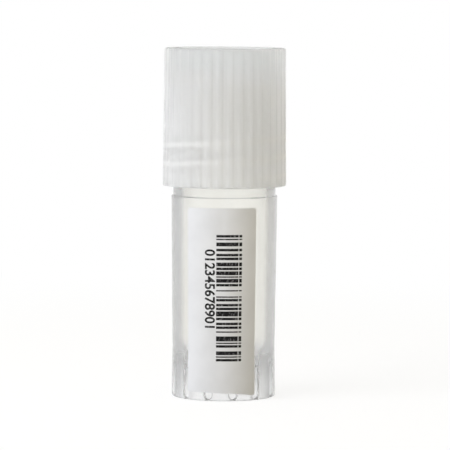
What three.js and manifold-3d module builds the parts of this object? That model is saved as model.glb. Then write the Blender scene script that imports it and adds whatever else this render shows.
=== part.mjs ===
// Cryovial, 1.2 ml, self-standing, with an external thread: tube, screw cap, seal ring and label.
//
// Millimetres, +Z up, origin on the surface it stands on, below the middle of the tube. The label faces -Y.
// A profile is a list of [radius, height] points, turned about Z. An angle is measured round +Z from +X.
import * as THREE from 'three';
import { mergeVertices } from 'three/addons/utils/BufferGeometryUtils.js';
import Module from 'manifold-3d';

const wasm = await Module();
wasm.setup();

// Tube outside
const SHOULDER_RADIUS = 6.25;
const SHOULDER_HEIGHT = 23.8;
const SHOULDER_CHAMFER = 0.2;
const WAIST_DRAFT = 0.205; // how much slimmer the waist is than the shoulder
const WAIST_HEIGHT = 6.0;
const SKIRT_FLARE = 0.015; // how much the skirt widens from the waist to its top
const SKIRT_HEIGHT = 4.7;
const FOOT_FLARE = 0.085; // how much the foot widens from the waist
const FOOT_ROUND = 0.18;

// Neck
const COLLAR_STEP = 0.22; // the collar is this much inside the shoulder
const COLLAR_HEIGHT = 1.5;
const CREST_BELOW_COLLAR = 0.03; // the thread's crest is this much inside the collar
const THREAD_DEPTH = 0.38;
const NECK_WALL = 0.72; // from the bore to the root of the thread
const NECK_LENGTH = 12.2; // from the shoulder to the rim
const RIM_ROUND = 0.15;

// Chamber and skirt
const FLOOR_WALL = 1.2;
const FOOT_CLEARANCE = 0.8; // from the standing surface up to the round floor
const SKIRT_WALL = 0.57; // at the foot
const FOOT_CHAMFER = 0.08;
const STAR_RIBS = 12;
const STAR_RIB_WIDTH = 1.1;
const STAR_RIB_DEPTH = 0.7;
const STAR_RIB_LIFT = 0.2; // from the standing surface up to the rounded end
const STAR_RIB_START = 11.5; // degrees

// Thread
const PITCH = 2.24;
const THREAD_ROOT_WIDTH = 0.95;
const THREAD_CREST_WIDTH = 0.4;
const THREAD_FLANK_GAP = 0.3; // along the axis, between the cap's ridge and the tube's ridge above it
const THREAD_CREST_GAP = 0.13; // from the cap's crest to the tube's root
const THREAD_START = -207.5; // degrees, where the tube's ridge starts
const THREAD_START_GAP = 0.4; // from the collar up to the middle of that start
const THREAD_TOP_LAND = 2.7; // plain neck between the thread's end and the rim
const CAP_THREAD_TURNS = 2.6;
const THREAD_FADE = 1 / 12; // of a turn, over which a ridge rises at each end

// Cap
const CAP_GAP = 1.1; // from the shoulder to the cap's edge
const CAP_BORE_CLEARANCE = 0.17; // round the collar
const CAP_WALL = 0.875; // from the bore to the valleys of the grip
const CAP_DRAFT = 0.15; // how much slimmer the cap is at its top
const CAP_PLATE = 1.5;
const CAP_RECESS_DEPTH = 2.6;
const CAP_RECESS_WALL = 1.4; // from the recess to the valleys of the grip
const CAP_EDGE_ROUND = 0.2;
const CAP_LEAD_IN = 0.3;
const GRIP_RIBS = 36;
const GRIP_RIB_HEIGHT = 0.2;
const GRIP_CREST_SHARE = 0.4; // of the spacing of the grip ribs
const GRIP_ROOT_SHARE = 0.64;
const GRIP_RIB_START = 2.5; // degrees

// Seal and what holds it
const SEAL_THICKNESS = 1.0;
const SEAL_OVERHANG = 0.23; // how far the seal reaches past the neck's outside
const SEAL_INNER_LAP = 0.3; // how far the seal reaches inside the bore
const SEAL_BOSS_CLEARANCE = 0.15;
const SEAL_BOSS_HEIGHT = 0.7;
const SEAL_RIBS = 6;
const SEAL_RIB_CLEARANCE = 0.13;
const SEAL_RIB_WIDTH = 0.45;
const SEAL_RIB_LENGTH = 3.4;
const SEAL_RIB_START = 17; // degrees

// Label
const LABEL_BOTTOM = 1.0;
const LABEL_TOP_GAP = 1.2; // from the label's top edge to the shoulder
const LABEL_FROM = -132.2; // degrees
const LABEL_TO = -52; // degrees
const LABEL_THICKNESS = 0.1;
const LABEL_GLUE = 0.02;

// Facets and overlaps
const SEGMENTS = 72;
const HELIX_STEPS = 36; // per turn
const FLOOR_STEPS = 8;
const ROUND_STEPS = 3;
const EDGE_STEPS = 2;
const LABEL_STEPS_ROUND = 16;
const LABEL_STEPS_UP = 4;
const SINK = 0.15; // how far a rib or ridge starts inside the wall it grows from
const OVERSHOOT = 1; // how far a cutting shape runs past the face it opens
const MERGE = 1e-4;
const FINEST = 0.003; // slivers smaller than this are taken out of a finished piece

// Sizes that follow from the ones above
const rimHeight = SHOULDER_HEIGHT + NECK_LENGTH;
const collarRadius = SHOULDER_RADIUS - COLLAR_STEP;
const collarTop = SHOULDER_HEIGHT + COLLAR_HEIGHT;
const crestRadius = collarRadius - CREST_BELOW_COLLAR;
const rootRadius = crestRadius - THREAD_DEPTH;
const boreRadius = rootRadius - NECK_WALL;
const domeRadius = boreRadius + FLOOR_WALL;
const floorCentre = FOOT_CLEARANCE + domeRadius;
const waistRadius = SHOULDER_RADIUS - WAIST_DRAFT;
const footRadius = waistRadius + FOOT_FLARE;
const skirtRadius = footRadius - SKIRT_WALL;

const capBottom = SHOULDER_HEIGHT + CAP_GAP;
const capBore = collarRadius + CAP_BORE_CLEARANCE;
const capCeiling = rimHeight + SEAL_THICKNESS;
const capFloor = capCeiling + CAP_PLATE;
const capTop = capFloor + CAP_RECESS_DEPTH;
const capRadius = capBore + CAP_WALL + GRIP_RIB_HEIGHT;
const capCrest = rootRadius + THREAD_CREST_GAP;

const sealOuter = rootRadius + SEAL_OVERHANG;
const sealInner = boreRadius - SEAL_INNER_LAP;

const degrees = (angle) => THREE.MathUtils.degToRad(angle);
const turnedBy = (angle) => new THREE.Matrix4().makeRotationZ(degrees(angle));

/** A closed three.js geometry as a solid: shared vertices are merged and collapsed triangles dropped. */
function solid(geometry) {
  const bare = geometry.clone();
  bare.deleteAttribute('normal');
  bare.deleteAttribute('uv');
  const merged = mergeVertices(bare, MERGE);
  const index = merged.index.array;
  const triangles = [];
  for (let i = 0; i < index.length; i += 3) {
    const [a, b, c] = [index[i], index[i + 1], index[i + 2]];
    if (a !== b && b !== c && c !== a) triangles.push(a, b, c);
  }
  const vertProperties = Float32Array.from(merged.attributes.position.array);
  const mesh = new wasm.Mesh({ numProp: 3, vertProperties, triVerts: Uint32Array.from(triangles) });
  return new wasm.Manifold(mesh);
}

/** The solid that a profile sweeps about Z. */
function turned(profile) {
  const points = profile.map(([radius, height]) => new THREE.Vector2(radius, height));
  return solid(new THREE.LatheGeometry(points, SEGMENTS).rotateX(Math.PI / 2));
}

/** Moves every vertex of a geometry to where place(x, y, z) puts it. */
function bent(geometry, place) {
  const position = geometry.attributes.position;
  for (let i = 0; i < position.count; i++) {
    position.setXYZ(i, ...place(position.getX(i), position.getY(i), position.getZ(i)));
  }
  return geometry;
}

/** Points on an arc in a profile, from one angle to another, counted from the radius axis. */
function arc(radius, height, size, from, to, steps) {
  return Array.from({ length: steps + 1 }, (_, i) => {
    const angle = degrees(from + ((to - from) * i) / steps);
    return [radius + size * Math.cos(angle), height + size * Math.sin(angle)];
  });
}

/**
 * A thread ridge: a bar with a trapezoid section, wrapped round Z as a right-hand helix. It grows from the
 * root radius to the crest radius, the smaller one on an inside thread, and fades in and out at its ends.
 */
function ridge(root, crest, startAngle, startHeight, turns) {
  const outward = Math.sign(crest - root);
  const base = root - outward * SINK;
  const section = new THREE.Shape([
    new THREE.Vector2(-THREAD_ROOT_WIDTH / 2, 0),
    new THREE.Vector2(THREAD_ROOT_WIDTH / 2, 0),
    new THREE.Vector2(THREAD_CREST_WIDTH / 2, 1),
    new THREE.Vector2(-THREAD_CREST_WIDTH / 2, 1),
  ]);
  const steps = Math.floor(turns * HELIX_STEPS);
  const length = steps / HELIX_STEPS;
  const bar = new THREE.ExtrudeGeometry(section, { depth: length, steps, bevelEnabled: false });
  const wrapped = bent(bar, (axial, rise, turn) => {
    const fade = Math.min(1, turn / THREAD_FADE, (length - turn) / THREAD_FADE);
    const low = base + (outward * SINK) / 2;
    const radius = rise > 0 ? low + (crest - low) * fade : base;
    const angle = degrees(startAngle + 360 * turn);
    const height = startHeight + outward * axial + PITCH * turn; // turned over inside, so its faces point out
    return [radius * Math.cos(angle), radius * Math.sin(angle), height];
  });
  return solid(wrapped);
}

/** The tube's outside radius at a height below its shoulder. */
function bodyRadius(height) {
  const line = [
    [footRadius, 0],
    [waistRadius + SKIRT_FLARE, SKIRT_HEIGHT],
    [waistRadius, WAIST_HEIGHT],
    [SHOULDER_RADIUS, SHOULDER_HEIGHT],
  ];
  const upper = line.findIndex(([, at]) => at >= height);
  const [r0, h0] = line[Math.max(upper - 1, 0)];
  const [r1, h1] = line[Math.max(upper, 1)];
  return r0 + ((r1 - r0) * (height - h0)) / (h1 - h0);
}

/** The tube: one moulding with its neck, thread, round chamber, skirt and star ribs. */
function tube() {
  const skirtAngle = THREE.MathUtils.radToDeg(Math.acos(skirtRadius / domeRadius));
  const chamferFoot = SHOULDER_HEIGHT - SHOULDER_CHAMFER;
  const blank = turned([
    ...arc(0, floorCentre, domeRadius, -90, -skirtAngle, FLOOR_STEPS),
    [skirtRadius, FOOT_CHAMFER],
    [skirtRadius + FOOT_CHAMFER, 0],
    ...arc(footRadius - FOOT_ROUND, FOOT_ROUND, FOOT_ROUND, -90, 0, ROUND_STEPS),
    [bodyRadius(SKIRT_HEIGHT), SKIRT_HEIGHT],
    [bodyRadius(WAIST_HEIGHT), WAIST_HEIGHT],
    [bodyRadius(chamferFoot), chamferFoot],
    [collarRadius, SHOULDER_HEIGHT],
    [collarRadius, collarTop],
    [rootRadius, collarTop + (collarRadius - rootRadius) / 2],
    ...arc(rootRadius - RIM_ROUND, rimHeight - RIM_ROUND, RIM_ROUND, 0, 90, ROUND_STEPS),
    [boreRadius, rimHeight],
    ...arc(0, floorCentre, boreRadius, 0, -90, FLOOR_STEPS),
  ]);
  return neckThread().add(starRibs()).add(blank);
}

/** Where the tube's ridge starts, how high its middle is there, and the turns that fit below the land. */
function neckHelix() {
  const start = collarTop + THREAD_ROOT_WIDTH / 2 + THREAD_START_GAP;
  const end = rimHeight - THREAD_TOP_LAND - THREAD_ROOT_WIDTH / 2;
  return { angle: THREAD_START, height: start, turns: (end - start) / PITCH };
}

/** The ridge round the neck. */
function neckThread() {
  const { angle, height, turns } = neckHelix();
  return ridge(rootRadius, crestRadius, angle, height, turns);
}

/** The ribs inside the skirt, each a tongue with a rounded lower end. */
function starRibs() {
  const half = STAR_RIB_WIDTH / 2;
  const domeEdge = floorCentre - Math.sqrt(domeRadius ** 2 - skirtRadius ** 2);
  const tongue = new THREE.Shape();
  tongue.moveTo(half, domeEdge + SINK);
  tongue.lineTo(-half, domeEdge + SINK);
  tongue.absarc(0, STAR_RIB_LIFT + half, half, Math.PI, 2 * Math.PI);
  const inner = skirtRadius - STAR_RIB_DEPTH;
  const bar = new THREE.ExtrudeGeometry(tongue, {
    depth: STAR_RIB_DEPTH + SINK,
    bevelEnabled: false,
    curveSegments: FLOOR_STEPS,
  });
  const rib = solid(bent(bar, (across, up, out) => [inner + out, across, up]));
  return ring(rib, STAR_RIBS, STAR_RIB_START);
}

/** A solid repeated round Z, as one solid. */
function ring(piece, count, start) {
  const copies = Array.from({ length: count }, (_, i) =>
    piece.transform(turnedBy(start + (360 * i) / count).elements),
  );
  return wasm.Manifold.union(copies);
}

/** The cap: one moulding with its grip ribs, top recess, inside thread, seal boss and seal ribs. */
function screwCap() {
  const cavity = turned([
    [0, capBottom - OVERSHOOT],
    [capBore + CAP_LEAD_IN, capBottom - OVERSHOOT],
    [capBore + CAP_LEAD_IN, capBottom],
    [capBore, capBottom + CAP_LEAD_IN],
    [capBore, capCeiling],
    [0, capCeiling],
  ]);
  const recessRadius = capRadius - GRIP_RIB_HEIGHT - CAP_DRAFT - CAP_RECESS_WALL;
  const recess = turned([
    [0, capFloor],
    [recessRadius, capFloor],
    [recessRadius, capTop + OVERSHOOT],
    [0, capTop + OVERSHOOT],
  ]);
  const boss = turned([
    [0, capCeiling - SEAL_BOSS_HEIGHT],
    [sealInner - SEAL_BOSS_CLEARANCE, capCeiling - SEAL_BOSS_HEIGHT],
    [sealInner - SEAL_BOSS_CLEARANCE, capCeiling + SINK],
    [0, capCeiling + SINK],
  ]);
  return gripBlank().subtract(cavity).subtract(recess).add(boss).add(capThread()).add(sealRibs());
}

/** The cap's outside: a ribbed outline, extruded with rounded edges and drawn in a little towards the top. */
function gripBlank() {
  const valley = capRadius - GRIP_RIB_HEIGHT;
  const corners = [
    [-GRIP_ROOT_SHARE / 2, valley],
    [-GRIP_CREST_SHARE / 2, capRadius],
    [GRIP_CREST_SHARE / 2, capRadius],
    [GRIP_ROOT_SHARE / 2, valley],
  ];
  const outline = [];
  for (let rib = 0; rib < GRIP_RIBS; rib++) {
    for (const [share, radius] of corners) {
      const angle = degrees(GRIP_RIB_START + (360 * (rib + share)) / GRIP_RIBS);
      outline.push(new THREE.Vector2(radius * Math.cos(angle), radius * Math.sin(angle)));
    }
  }
  const height = capTop - capBottom;
  const blank = new THREE.ExtrudeGeometry(new THREE.Shape(outline), {
    depth: height - 2 * CAP_EDGE_ROUND,
    bevelThickness: CAP_EDGE_ROUND,
    bevelSize: CAP_EDGE_ROUND,
    bevelOffset: -CAP_EDGE_ROUND,
    bevelSegments: EDGE_STEPS,
  });
  return solid(bent(blank, (x, y, z) => {
    const up = z + CAP_EDGE_ROUND;
    const scale = 1 - ((CAP_DRAFT / capRadius) * up) / height;
    return [x * scale, y * scale, capBottom + up];
  }));
}

/** The ridge inside the cap, just below the tube's ridge at every angle. */
function capThread() {
  const neck = neckHelix();
  const drop = (THREAD_ROOT_WIDTH + THREAD_CREST_WIDTH) / 2 + THREAD_FLANK_GAP;
  // Turns by which it starts later than the tube's ridge, which keeps it above the collar.
  const later = Math.ceil((drop / PITCH) * HELIX_STEPS) / HELIX_STEPS;
  const height = neck.height - drop + later * PITCH;
  return ridge(capBore, capCrest, neck.angle + 360 * later, height, CAP_THREAD_TURNS);
}

/** The short ribs under the top plate that centre the seal. */
function sealRibs() {
  const inner = sealOuter + SEAL_RIB_CLEARANCE;
  const rib = new THREE.BoxGeometry(capBore + SINK - inner, SEAL_RIB_WIDTH, SEAL_RIB_LENGTH + SINK);
  rib.translate((capBore + SINK + inner) / 2, 0, capCeiling + SINK - (SEAL_RIB_LENGTH + SINK) / 2);
  return ring(solid(rib), SEAL_RIBS, SEAL_RIB_START);
}

/** The seal: a flat washer. */
function sealRing() {
  return turned([
    [sealInner, rimHeight],
    [sealOuter, rimHeight],
    [sealOuter, capCeiling],
    [sealInner, capCeiling],
    [sealInner, rimHeight],
  ]);
}

/** The label: a curved sheet that follows the tube's outside, a glue line away from it. */
function label() {
  const top = SHOULDER_HEIGHT - LABEL_TOP_GAP;
  const inner = LABEL_GLUE;
  const outer = LABEL_GLUE + LABEL_THICKNESS;
  const sheet = new THREE.BoxGeometry(1, 1, 1, LABEL_STEPS_ROUND, 1, LABEL_STEPS_UP);
  const wrapped = bent(sheet, (across, through, up) => {
    const angle = degrees(LABEL_FROM + (LABEL_TO - LABEL_FROM) * (across + 0.5));
    const height = LABEL_BOTTOM + (top - LABEL_BOTTOM) * (up + 0.5);
    const radius = bodyRadius(height) + (through < 0 ? outer : inner);
    return [radius * Math.cos(angle), radius * Math.sin(angle), height];
  });
  return solid(wrapped);
}

/** A named three.js mesh of a solid. */
function part(name, shape, material) {
  const { vertProperties, triVerts } = shape.simplify(FINEST).getMesh();
  const geometry = new THREE.BufferGeometry();
  geometry.setAttribute('position', new THREE.BufferAttribute(vertProperties, 3));
  geometry.setIndex(new THREE.BufferAttribute(triVerts, 1));
  geometry.computeVertexNormals();
  const mesh = new THREE.Mesh(geometry, new THREE.MeshStandardMaterial(material));
  mesh.name = name;
  return mesh;
}

const cryovial = new THREE.Group();
cryovial.add(
  part('tube', tube(), { color: 0xe9ebea, roughness: 0.3, metalness: 0 }),
  part('screw_cap', screwCap(), { color: 0xdedfde, roughness: 0.35, metalness: 0 }),
  part('seal_ring', sealRing(), { color: 0xe6e4dc, roughness: 0.5, metalness: 0 }),
  part('barcode_label', label(), { color: 0xf1f2f5, roughness: 0.6, metalness: 0 }),
);

export default cryovial;
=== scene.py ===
"""A 1.2 ml cryovial that stands by itself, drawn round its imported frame.

The tube, screw cap, seal ring, label and print are each closed surfaces. A profile is a list of
(radius, height) points in millimetres, carried round the Z axis. An angle is in degrees, round +Z
from +X, and the label faces -Y, at -90 degrees.
"""
import logging
import math
from dataclasses import dataclass, replace
from enum import Enum

import bmesh
import bpy
import numpy as np
from mathutils import Euler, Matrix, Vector


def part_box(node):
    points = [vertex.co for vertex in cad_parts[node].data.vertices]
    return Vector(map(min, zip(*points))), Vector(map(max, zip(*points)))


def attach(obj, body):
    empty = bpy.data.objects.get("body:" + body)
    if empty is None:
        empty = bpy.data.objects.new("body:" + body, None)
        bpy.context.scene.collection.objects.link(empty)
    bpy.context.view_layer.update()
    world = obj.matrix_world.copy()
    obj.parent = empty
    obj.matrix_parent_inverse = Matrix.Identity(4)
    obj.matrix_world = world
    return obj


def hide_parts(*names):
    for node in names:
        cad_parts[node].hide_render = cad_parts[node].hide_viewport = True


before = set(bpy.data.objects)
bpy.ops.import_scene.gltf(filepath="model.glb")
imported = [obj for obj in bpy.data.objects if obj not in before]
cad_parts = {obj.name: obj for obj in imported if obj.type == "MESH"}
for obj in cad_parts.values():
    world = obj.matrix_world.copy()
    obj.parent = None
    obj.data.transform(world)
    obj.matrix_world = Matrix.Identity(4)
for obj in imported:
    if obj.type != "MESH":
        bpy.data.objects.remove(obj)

log = logging.getLogger("cryovial")

MM = 0.001  # metres in a millimetre
TINY = 1e-6  # mm, below which two points of a profile are one
CRISP = 50.0  # degrees, past which an edge isn't shaded smooth
PITCH = 2.24  # mm, the climb of the tube's thread and the cap's in one turn
TURN_STEPS = 36  # steps to a turn, in which a thread's length is counted


class Body(Enum):
    """The bodies that pieces ride on."""

    VIAL = "vial"
    SEAL = "seal"
    CAP = "cap"


class Slot(Enum):
    """The record's material slots."""

    TUBE = "tube_polypropylene"
    CAP = "cap_polypropylene"
    SEAL = "seal_silicone"
    LABEL = "label_film"


class Ends(Enum):
    """How the first and last rows of a turned grid close."""

    POLES = "each shrinks to a point on the axis"
    LOOP = "they join each other"


# Profiles and grids -----------------------------------------------------------------------------


def corners(node: str) -> tuple[np.ndarray, np.ndarray]:
    """The lowest and highest corner of a frame node.

    Args:
        node: the frame node's name.

    Returns:
        Both corners, in millimetres.
    """
    low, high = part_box(node)
    return np.array(low) / MM, np.array(high) / MM


def at(radius: np.ndarray | float, height: np.ndarray | float) -> np.ndarray:
    """Profile points from radii and heights, which broadcast together."""
    return np.stack(np.broadcast_arrays(radius, height), axis=-1)


Point = tuple[float, float] | np.ndarray  # a radius and a height, or a pair for each column


def line(start: Point, end: Point, count: int) -> np.ndarray:
    """Evenly spaced profile points on a straight line, both ends included."""
    return np.linspace(start, end, count)


def arc(
    centre: tuple[float, float], size: float, start: float, end: float, count: int
) -> np.ndarray:
    """Profile points on a circle: the centre plus size times the cosine and sine of even angles.

    Args:
        centre: radius and height of the circle's centre.
        size: the circle's radius.
        start: angle of the first point, in degrees from the radius axis.
        end: angle of the last point.
        count: how many points.

    Returns:
        An array of (radius, height) rows.
    """
    angle = np.radians(np.linspace(start, end, count))
    return np.asarray(centre) + size * at(np.cos(angle), np.sin(angle))


def joined(*stretches: np.ndarray) -> np.ndarray:
    """Stretches of profile end to end, with a point that two of them share kept once.

    Args:
        *stretches: arrays of (radius, height) rows, in order.

    Returns:
        All of them as one array.
    """
    whole = np.concatenate(stretches)
    step = np.linalg.norm(np.diff(whole, axis=0), axis=1)
    return whole[np.concatenate([[True], step > TINY])]


def spread(profile: np.ndarray, columns: int) -> np.ndarray:
    """One profile repeated for every column: an array of rows, columns and (radius, height)."""
    return np.repeat(profile[:, None, :], columns, axis=1)


def carried_round(profiles: np.ndarray, angles: np.ndarray) -> np.ndarray:
    """Places a grid of (radius, height) round Z: x is radius times cosine, y radius times sine.

    Args:
        profiles: rows, columns and (radius, height), in millimetres.
        angles: each column's angle, in degrees.

    Returns:
        Rows, columns and (x, y, z), in millimetres.
    """
    radius, height = profiles[..., 0], profiles[..., 1]
    turn = np.radians(angles)
    return np.stack([radius * np.cos(turn), radius * np.sin(turn), height], axis=-1)


def smooth(share: np.ndarray) -> np.ndarray:
    """A soft step from 0 to 1: three times the share squared less twice the share cubed."""
    held = np.clip(share, 0.0, 1.0)
    return held * held * (3.0 - 2.0 * held)


def put_in_scene(name: str, data: bpy.types.ID) -> bpy.types.Object:
    """A new object at the origin for a mesh, a curve, a lamp or a camera.

    Args:
        name: the object's name.
        data: what it shows.

    Returns:
        The object, in the scene.
    """
    made = bpy.data.objects.new(name, data)
    bpy.context.scene.collection.objects.link(made)
    return made


def new_piece(name: str, points: np.ndarray, faces: list[list[int]]) -> bpy.types.Object:
    """Makes an object at the origin whose place is in its mesh.

    Args:
        name: the piece's name.
        points: its vertices, in millimetres.
        faces: lists of vertex numbers.

    Returns:
        The new object.
    """
    mesh = bpy.data.meshes.new(name)
    mesh.from_pydata((points * MM).tolist(), [], faces)
    mesh.shade_smooth()
    mesh.set_sharp_from_angle(angle=math.radians(CRISP))
    return put_in_scene(name, mesh)


def turned_piece(name: str, grid: np.ndarray, ends: Ends) -> bpy.types.Object:
    """One closed surface from a grid that goes all the way round Z.

    Points (i, j), (i, j+1), (i+1, j+1) and (i+1, j) make a face. It points outwards where the rows
    climb the outside and the columns go round anticlockwise.

    Args:
        name: the piece's name.
        grid: rows, columns and (x, y, z), in millimetres.
        ends: how the first and last rows close.

    Returns:
        The new object.
    """
    rows, columns = grid.shape[:2]
    if ends is Ends.LOOP:
        here = np.arange(rows * columns).reshape(rows, columns)
        above = np.roll(here, -1, axis=0)
        quads = np.stack([here, np.roll(here, -1, 1), np.roll(above, -1, 1), above], axis=-1)
        return new_piece(name, grid.reshape(-1, 3), quads.reshape(-1, 4).tolist())
    last = (rows - 2) * columns + 1
    here = np.arange(1, last).reshape(rows - 2, columns)
    beside = np.roll(here, -1, axis=1)
    quads = np.stack([here[:-1], beside[:-1], beside[1:], here[1:]], axis=-1).reshape(-1, 4)
    first_fan = np.stack([np.zeros(columns, int), beside[0], here[0]], axis=-1)
    last_fan = np.stack([here[-1], beside[-1], np.full(columns, last)], axis=-1)
    points = np.concatenate([grid[0, :1], grid[1:-1].reshape(-1, 3), grid[-1, :1]])
    return new_piece(name, points, quads.tolist() + first_fan.tolist() + last_fan.tolist())


def sheet_faces(rows: int, columns: int) -> np.ndarray:
    """Faces of a thin closed sheet whose front and back are two grids of the same shape.

    The front's vertices come first and the back's follow. A strip of faces joins their edges.

    Args:
        rows: rows of each grid.
        columns: columns of each grid.

    Returns:
        An array of four vertex numbers a face.
    """
    front = np.arange(rows * columns).reshape(rows, columns)
    back = front + rows * columns
    faces = np.stack([front[:-1, :-1], front[:-1, 1:], front[1:, 1:], front[1:, :-1]], axis=-1)
    rear = np.stack([back[:-1, :-1], back[1:, :-1], back[1:, 1:], back[:-1, 1:]], axis=-1)
    rim = np.concatenate([front[0, :-1], front[:-1, -1], front[-1, :0:-1], front[:0:-1, 0]])
    ahead = np.roll(rim, -1)
    strip = np.stack([ahead, rim, rim + rows * columns, ahead + rows * columns], axis=-1)
    return np.concatenate([faces.reshape(-1, 4), rear.reshape(-1, 4), strip])


def seat(made: bpy.types.Object, body: Body, finish: "Finish") -> None:
    """Gives a piece its finish, lets it ride on its body and reports it.

    Args:
        made: the piece.
        body: the body that it rides on.
        finish: what dresses it.
    """
    made.data.materials.append(finish.material())
    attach(made, body.value)
    log.info("%s: %d faces, rides on %s", made.name, len(made.data.polygons), body.value)


# The thread -------------------------------------------------------------------------------------


@dataclass(frozen=True)
class Ridge:
    """A right-handed thread ridge on a round wall, as a rise above that wall."""

    start_angle: float  # degrees
    start_height: float
    turns: float
    depth: float
    pitch: float = PITCH
    root_width: float = 0.95
    crest_width: float = 0.4
    fade: float = 1 / 12  # of a turn, over which it rises at each end

    def rise(self, angle: np.ndarray, height: np.ndarray) -> np.ndarray:
        """How far the ridge stands off its wall at each angle and height.

        The ridge's middle climbs one pitch a turn, and the turn whose middle is nearest in height
        counts. The rise is a soft step down each flank, times a soft step over the fade at an end.

        Args:
            angle: degrees.
            height: millimetres, in an array that broadcasts with angle.

        Returns:
            The rise, in millimetres.
        """
        share = ((angle - self.start_angle) / 360.0) % 1.0
        nearest = np.round((height - self.start_height) / self.pitch - share)
        turn = share + np.clip(nearest, 0.0, np.floor(self.turns - share))
        away = np.abs(height - self.start_height - self.pitch * turn)
        flank = (self.root_width / 2 - away) / ((self.root_width - self.crest_width) / 2)
        end = np.minimum(turn, self.turns - turn) / self.fade
        return self.depth * smooth(flank) * smooth(end)


# Finishes ---------------------------------------------------------------------------------------


def linear(code: str) -> tuple[float, float, float, float]:
    """A hex sRGB colour as the linear colour that a shader takes.

    Args:
        code: the colour, such as "#F2F3F1".

    Returns:
        Red, green, blue and full opacity.
    """
    shares = [int(code[i : i + 2], 16) / 255.0 for i in (1, 3, 5)]
    light = [s / 12.92 if s <= 0.04045 else ((s + 0.055) / 1.055) ** 2.4 for s in shares]
    return (light[0], light[1], light[2], 1.0)


def emptied(owner: bpy.types.Material | bpy.types.World) -> bpy.types.NodeTree:
    """The node tree of a material or a world, with nothing left in it.

    Args:
        owner: the material or the world.

    Returns:
        Its tree.
    """
    owner.use_nodes = True
    owner.node_tree.nodes.clear()
    return owner.node_tree


def add(
    tree: bpy.types.NodeTree,
    kind: str,
    inputs: dict[str | int, object] | None = None,
    stops: tuple[tuple[float, str], ...] = (),
    **settings: object,
) -> bpy.types.Node:
    """Adds a shader node with its settings and links.

    Args:
        tree: the node tree that it goes in.
        kind: the node's type, without "ShaderNode".
        inputs: a value, an output or a node, for its first output, by the input's name or number.
        stops: a colour ramp's stops in order, each a place from 0 to 1 and a hex colour.
        **settings: the node's own properties.

    Returns:
        The new node.
    """
    made = tree.nodes.new("ShaderNode" + kind)
    for key, value in settings.items():
        setattr(made, key, value)
    for place, _ in stops[1:-1]:
        made.color_ramp.elements.new(place)
    for number, (place, colour) in enumerate(stops):
        made.color_ramp.elements[number].position = place
        made.color_ramp.elements[number].color = linear(colour)
    for key, value in (inputs or {}).items():
        source = value.outputs[0] if isinstance(value, bpy.types.Node) else value
        if isinstance(source, bpy.types.NodeSocket):
            tree.links.new(source, made.inputs[key])
        else:
            made.inputs[key].default_value = source
    return made


def per_mm(size: float) -> float:
    """The scale of a texture on metre coordinates whose features are this far apart in mm."""
    return 1.0 / (size * MM)


class Finish:
    """What every finish does: it makes its material once and hands the same one out again."""

    name: str

    def material(self) -> bpy.types.Material:
        """The finish's material, made the first time that it is asked for.

        Returns:
            The material.
        """
        known = bpy.data.materials.get(self.name)
        if known:
            return known
        made = bpy.data.materials.new(self.name)
        tree = emptied(made)
        add(tree, "OutputMaterial", {"Surface": self.shader(tree)})
        return made

    def shader(self, tree: bpy.types.NodeTree) -> bpy.types.Node:
        """The finish's own nodes, ending in one Principled shader.

        Args:
            tree: the material's empty node tree.

        Returns:
            The Principled shader.
        """
        raise NotImplementedError


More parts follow.
